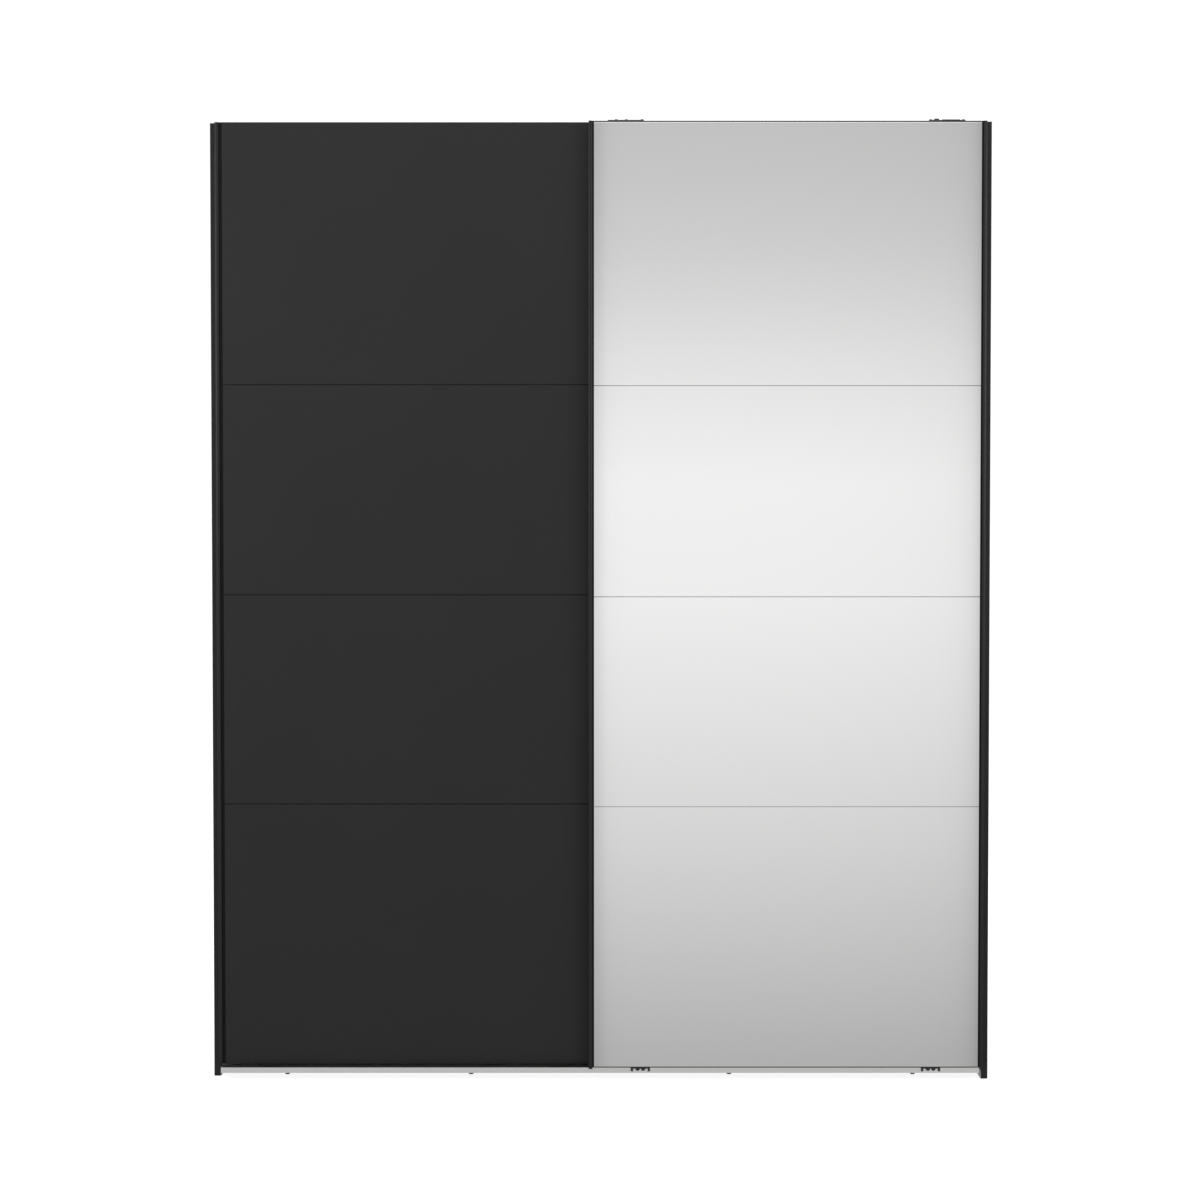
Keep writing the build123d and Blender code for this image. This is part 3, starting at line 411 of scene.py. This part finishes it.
def mirror_glass():
    """Silvered glass with painted shade, darker towards its left and right edges, with ground and
    greenish edges.
    """
    made = Surface("mirror_silver", SILVER, MIRROR_ROUGHNESS, metallic=1.0)
    low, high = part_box("mirror_door_mirror_1")
    across = made.node("ShaderNodeFloatCurve")
    made.link(made.spread(made.part_of("Object", "X"), low.x, high.x), across.inputs["Value"])
    width = MIRROR_EDGE_SHADE[-1][0]
    shape_curve(across, [(place / width, tone) for place, tone in MIRROR_EDGE_SHADE])
    # painted shade: the silver is painted darker towards the pane's left and right edges
    edge_shaded = made.blend(across.outputs["Value"], MIRROR_FULL_SHADE, SILVER)
    squareness = made.sum("ABSOLUTE", made.part_of("Normal", "Y"))
    made.colour(made.blend(made.strong_tone(squareness), GROUND_GLASS, edge_shaded))
    waves = made.noise(MIRROR_SCALE, MIRROR_DETAIL)
    made.rough(made.spread(waves, NOISE_LOW, NOISE_HIGH, MIRROR_CLEAREST, MIRROR_DULLEST))
    return made.material


# drawn metal has fine lines, much closer across than along
LINE_DETAIL, LINE_SHARPNESS = 2.0, 0.6
LINE_DEPTH = 0.008 * MM
LINE_DARK, LINE_LIGHT = 0.93, 1.06
LINE_ROUGHNESS_SWING = 0.04
ALONG_X = (4.0, 2000.0, 2000.0)
ALONG_Z = (2500.0, 2500.0, 4.0)

ANODISED = (0.60, 0.60, 0.59)
ANODISED_ROUGHNESS = 0.34
BLOTCH_SCALE, BLOTCH_SWING = 14.0, 0.02


def drawn_aluminium():
    """Satin anodised aluminium, with fine lines along X."""
    made = Surface("anodised_satin", ANODISED, ANODISED_ROUGHNESS, metallic=1.0)
    lines = made.lines(ALONG_X)
    darker, lighter = shade(ANODISED, LINE_DARK), shade(ANODISED, LINE_LIGHT)
    made.colour(made.blend(made.tone(lines), darker, lighter))
    fine = made.swing(lines, ANODISED_ROUGHNESS, LINE_ROUGHNESS_SWING)
    made.rough(made.sum("ADD", fine, made.swing(made.noise(BLOTCH_SCALE), 0.0, BLOTCH_SWING)))
    made.bump(lines, LINE_DEPTH)
    return made.material


BLACK = (0.021, 0.021, 0.022)
BLACK_ROUGHNESS, BLACK_METALLIC = 0.36, 0.6
# painted shade in the profile's recess beside the panes, where shadow falls
RECESS_SHADE = (0.004, 0.004, 0.004)
RECESS_ROUGHER = 0.3
GRIP_FACE_DEPTH = 2.0 * MM
GRIP_BLEND = 1.0 * MM


def grip_profile(name, node):
    """Black anodised profile with painted shade: its recess beside the panes is painted darker
    than its crowned face.
    """
    made = Surface(name, BLACK, BLACK_ROUGHNESS, metallic=BLACK_METALLIC)
    face_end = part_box(node)[0].y + GRIP_FACE_DEPTH
    shaded_recess = made.spread(made.part_of("Object", "Y"), face_end, face_end + GRIP_BLEND)
    lines = made.lines(ALONG_Z)
    face = made.blend(made.tone(lines), shade(BLACK, LINE_DARK), shade(BLACK, LINE_LIGHT))
    # painted shade: the recess is blended towards a near-black colour
    made.colour(made.blend(shaded_recess, face, RECESS_SHADE))
    fine = made.swing(lines, BLACK_ROUGHNESS, LINE_ROUGHNESS_SWING)
    made.rough(made.sum("MULTIPLY_ADD", shaded_recess, RECESS_ROUGHER, fine))
    made.bump(lines, LINE_DEPTH)
    return made.material


SATIN = (0.80, 0.80, 0.79)
SATIN_ROUGHNESS = 0.38
SATIN_DARK, SATIN_LIGHT = 0.95, 1.04
# painted shade: a dark colour behind the rail's front lip, where the channel lies in shadow
RAIL_CHANNEL_SHADE = (0.090, 0.090, 0.091)
CHANNEL_SHADE_SWING = 0.2
CHANNEL_ROUGHER = 0.25
RAIL_LIP = 2.5 * MM
LIP_BLEND = 0.1 * MM


def shaded_rail():
    """The bottom rail: satin aluminium in front, and painted shade behind the lip, where the
    channel lies in shadow.
    """
    made = Surface("bottom_rail_satin", SATIN, SATIN_ROUGHNESS, metallic=1.0)
    lip_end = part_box("bottom_rail")[0].y + RAIL_LIP
    behind = made.spread(made.part_of("Object", "Y"), lip_end - LIP_BLEND, lip_end)
    lines = made.lines(ALONG_X)
    tone = made.tone(lines)
    bright = made.blend(tone, shade(SATIN, SATIN_DARK), shade(SATIN, SATIN_LIGHT))
    channel_shade = made.blend(tone, *swung(RAIL_CHANNEL_SHADE, CHANNEL_SHADE_SWING))
    # painted shade behind the lip
    made.colour(made.blend(behind, bright, channel_shade))
    fine = made.swing(lines, SATIN_ROUGHNESS, LINE_ROUGHNESS_SWING)
    made.rough(made.sum("MULTIPLY_ADD", behind, CHANNEL_ROUGHER, fine))
    made.bump(lines, LINE_DEPTH)
    return made.material


LACQUER_ROUGHNESS = 0.6
BACK_NONE, BACK_FULL = 0.4, 0.6  # the normal's Y, 1 on the back
FIBRE = (0.150, 0.093, 0.052)
FIBRE_SCALE = (420.0, 420.0, 190.0)
FIBRE_DETAIL, FIBRE_SHARPNESS, FIBRE_SHARE = 4.0, 0.7, 0.85
FIBRE_DARK, FIBRE_LIGHT = 0.80, 1.22
FIBRE_SMOOTHEST, FIBRE_ROUGHEST = 0.55, 0.72
FIBRE_DEPTH = 0.05 * MM
SPECK_SCALE, SPECK_DARK = 900.0, 0.42
SPECK_NONE, SPECK_FULL = 0.66, 0.74
PATCH_SCALE, PATCH_DETAIL, PATCH_SHARPNESS, PATCH_SHARE = 9.0, 4.0, 0.6, 0.15


def hardboard():
    """Hardboard: lacquered light grey inside, bare pressed fibre on its back."""
    made = Surface("back_hardboard", LIGHT_GREY, LACQUER_ROUGHNESS, specular=BOARD_SPECULAR)
    behind = made.spread(made.part_of("Normal", "Y"), BACK_NONE, BACK_FULL)
    fibres = made.noise(1.0, FIBRE_DETAIL, FIBRE_SHARPNESS, made.stretched(FIBRE_SCALE))
    specks = made.spread(made.noise(SPECK_SCALE), SPECK_NONE, SPECK_FULL)
    patches = made.noise(PATCH_SCALE, PATCH_DETAIL, PATCH_SHARPNESS)
    patches = made.sum("MULTIPLY", patches, PATCH_SHARE)
    tone = made.strong_tone(made.sum("MULTIPLY_ADD", fibres, FIBRE_SHARE, patches))
    bare = made.blend(tone, shade(FIBRE, FIBRE_DARK), shade(FIBRE, FIBRE_LIGHT))
    bare = made.blend(specks, bare, shade(FIBRE, SPECK_DARK))
    made.colour(made.blend(behind, LIGHT_GREY, bare))
    made.rough(made.spread(fibres, NOISE_LOW, NOISE_HIGH, FIBRE_SMOOTHEST, FIBRE_ROUGHEST))
    made.bump(fibres, FIBRE_DEPTH)
    return made.material


PILE = (0.02, 0.02, 0.02)
PILE_ROOT, PILE_TIP = (0.006, 0.006, 0.006), (0.045, 0.045, 0.047)
PILE_SCALE = (2600.0, 60.0, 2600.0)
PILE_ROUGHNESS, PILE_ROUGHNESS_SWING = 0.8, 0.1
PILE_SPECULAR = 0.2
PILE_DEPTH = 0.3 * MM


def pile():
    """Brush pile: fine dark fibres that stand out along Y."""
    made = Surface("brush_fibres", PILE, PILE_ROUGHNESS, specular=PILE_SPECULAR)
    fibres = made.lines(PILE_SCALE)
    made.colour(made.blend(made.strong_tone(fibres), PILE_ROOT, PILE_TIP))
    made.rough(made.swing(fibres, PILE_ROUGHNESS, PILE_ROUGHNESS_SWING))
    made.bump(fibres, PILE_DEPTH)
    return made.material


GRAIN_SHARPNESS = 0.55
GRAIN_CLOUD_SCALE = 40.0
GRAIN_SWING = 0.06
GRAIN_ROUGHNESS_SWING = 0.05


def grained(name, colour, roughness, size, depth, reach=GRAIN_SWING, **settings):
    """A fine even grain, as on powder coat, moulded plastic, rubber or plated steel."""
    made = Surface(name, colour, roughness, **settings)
    grain = made.noise(1.0 / size, roughness=GRAIN_SHARPNESS)
    clouds = made.tone(made.noise(GRAIN_CLOUD_SCALE))
    made.colour(made.blend(clouds, *swung(colour, reach)))
    made.rough(made.swing(grain, roughness, GRAIN_ROUGHNESS_SWING))
    made.bump(grain, depth)
    return made.material


METAL = {"metallic": 1.0}
POLISHED = {"metallic": 1.0, "reach": 0.02}
SOFT = {"specular": 0.3}

# slot, material, colour, roughness, size and depth of the grain in millimetres, settings
GRAINED = [
    ("black_steel", "powder_black", (0.016, 0.016, 0.016), 0.45, 0.9, 0.03, {}),
    ("chrome_tube", "chrome", (0.78, 0.78, 0.79), 0.10, 4.0, 0.002, POLISHED),
    ("zinc_fitting", "zinc_plate", (0.55, 0.55, 0.53), 0.34, 0.6, 0.008, METAL),
    ("bearing_steel", "ground_steel", (0.62, 0.62, 0.63), 0.22, 0.5, 0.004, METAL),
    ("nylon_wheel", "nylon", (0.70, 0.70, 0.67), 0.42, 0.7, 0.01, {}),
    ("dark_plastic", "moulded_plastic", (0.016, 0.016, 0.0165), 0.5, 0.6, 0.02, {}),
    ("rubber_buffer", "rubber", (0.020, 0.020, 0.020), 0.75, 0.7, 0.03, SOFT),
]


def materials_by_slot():
    """One material for each slot of the record, and for each look that differs in a slot."""
    made = {
        "carcass_board": melamine(
            "side_melamine", GRAPHITE_BOARD, BOARD_FINISH, SIDE_SWING, inside=LIGHT_GREY
        ),
        "interior_board": melamine("interior_melamine", LIGHT_GREY, BOARD_FINISH, LIGHT_SWING),
        "door_board": melamine("door_melamine", GRAPHITE_BOARD, BOARD_FINISH, DARK_SWING),
        "graphite_front": melamine("front_lacquer", GRAPHITE, FRONT_FINISH, DARK_SWING),
        "back_board": hardboard(),
        "silver_mirror": mirror_glass(),
        "front_profiles": grip_profile("anodised_black_front", "mirror_door_handle_stile"),
        "rear_profiles": grip_profile("anodised_black_rear", "graphite_door_stile_left"),
        "aluminium_rail": drawn_aluminium(),
        "shaded_rail": shaded_rail(),
        "brush_pile": pile(),
    }
    for slot, name, colour, roughness, size, depth, settings in GRAINED:
        made[slot] = grained(name, colour, roughness, size * MM, depth * MM, **settings)
    return made


# nodes whose look differs from the rest of their slot
LOOKS = {
    "bottom_rail": "shaded_rail",
    "mirror_door_handle_stile": "front_profiles",
    "mirror_door_stile_right": "front_profiles",
    "graphite_door_stile_left": "rear_profiles",
    "graphite_door_stile_right": "rear_profiles",
}

BEVEL_ANGLE = 50.0  # degrees
BEVEL_SEGMENTS = 2

# how far the edges are eased, by a part of the node's name
EASED = {
    "side_panel": 0.5 * MM,
    "top_panel": 0.4 * MM,
    "bottom_panel": 0.4 * MM,
    "partition": 0.4 * MM,
    "core": 0.4 * MM,
    "carrier": 0.3 * MM,
    "wall_brackets": 0.4 * MM,
    "bottom_rail": 0.2 * MM,
}


def dress_nodes():
    """Gives every CAD node the material of its slot in the record."""
    by_slot = materials_by_slot()
    for name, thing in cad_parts.items():
        slot = LOOKS.get(name) or thing.data.materials[0].name.split(".")[0]
        for place in thing.material_slots:
            place.material = by_slot[slot]
    return by_slot


# a strip has two rows of tufts, which lean and end a little short by chance
BRUSH_BACKING = 1.0 * MM
TUFT_PITCH = 1.5 * MM
TUFT_ROW = 0.5 * MM
TUFT_HALF = 0.45 * MM
TUFT_TAPER = 0.7
TUFT_LEAN = 0.2 * MM
TUFT_SHORT = 0.25 * MM
TUFT_ROOT = 0.3 * MM
TUFT_START = 0.75  # pitches from the strip's end to the first tuft
ROW_STAGGER = 0.5  # pitches from one row to the other
FULL_TUFT_EVERY = 7

# strip, its door, seed
BRUSHES = [
    ("graphite_door_brush", "graphite_door", 11),
    ("mirror_door_brush", "mirror_door", 12),
]


def add_brush(node, body, material, seed):
    """The brush strip as a backing with separate tufts."""
    low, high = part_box(node)
    draw = random.Random(seed)
    corners, faces = [], []

    def tuft(foot, tip, foot_half, tip_half):
        """A closed four-sided post whose foot and tip lie in planes across Y."""
        first = len(corners)
        for (x, y, z), half in ((foot, foot_half), (tip, tip_half)):
            for dx, dz in ((-1, -1), (1, -1), (1, 1), (-1, 1)):
                corners.append((x + dx * half[0], y, z + dz * half[1]))
        faces.append(tuple(first + i for i in (0, 1, 2, 3)))
        faces.append(tuple(first + i for i in (7, 6, 5, 4)))
        for i in range(4):
            j = (i + 1) % 4
            faces.append((first + i, first + 4 + i, first + 4 + j, first + j))

    middle_x, middle_z = (low.x + high.x) / 2, (low.z + high.z) / 2
    half_base = ((high.x - low.x) / 2, (high.z - low.z) / 2)
    half_foot, half_tip = (TUFT_HALF * TUFT_TAPER,) * 2, (TUFT_HALF,) * 2
    backing_top = low.y + BRUSH_BACKING
    tuft((middle_x, low.y, middle_z), (middle_x, backing_top, middle_z), half_base, half_base)
    count = int((high.z - low.z - 2 * TUFT_PITCH) / TUFT_PITCH)
    for row, x in enumerate((middle_x - TUFT_ROW, middle_x + TUFT_ROW)):
        for i in range(count):
            z = low.z + TUFT_PITCH * (i + TUFT_START + ROW_STAGGER * row)
            tip_x, tip_z = (at + draw.uniform(-TUFT_LEAN, TUFT_LEAN) for at in (x, z))
            tip_y = high.y if i % FULL_TUFT_EVERY == 0 else high.y - draw.uniform(0.0, TUFT_SHORT)
            foot = (x, backing_top - TUFT_ROOT, z)
            tuft(foot, (tip_x, tip_y, tip_z), half_foot, half_tip)
    mesh = bpy.data.meshes.new(f"{node}_pile")
    mesh.from_pydata(corners, [], faces)
    mesh.validate()
    mesh.materials.append(material)
    piece = bpy.data.objects.new(f"{node}_pile", mesh)
    bpy.context.scene.collection.objects.link(piece)
    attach(piece, body)
    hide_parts(node)


def ease_edges():
    """Takes the sharpness off the boards, carriers, wall brackets and bottom rail."""
    for name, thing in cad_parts.items():
        for part, width in EASED.items():
            if part not in name or "screws" in name:
                continue
            bevel = thing.modifiers.new("eased_edges", "BEVEL")
            bevel.width = width
            bevel.segments = BEVEL_SEGMENTS
            bevel.limit_method = "ANGLE"
            bevel.angle_limit = math.radians(BEVEL_ANGLE)


add_camera()
add_studio()
looks = dress_nodes()
ease_edges()
for brush, door, seed in BRUSHES:
    add_brush(brush, door, looks["brush_pile"], seed)
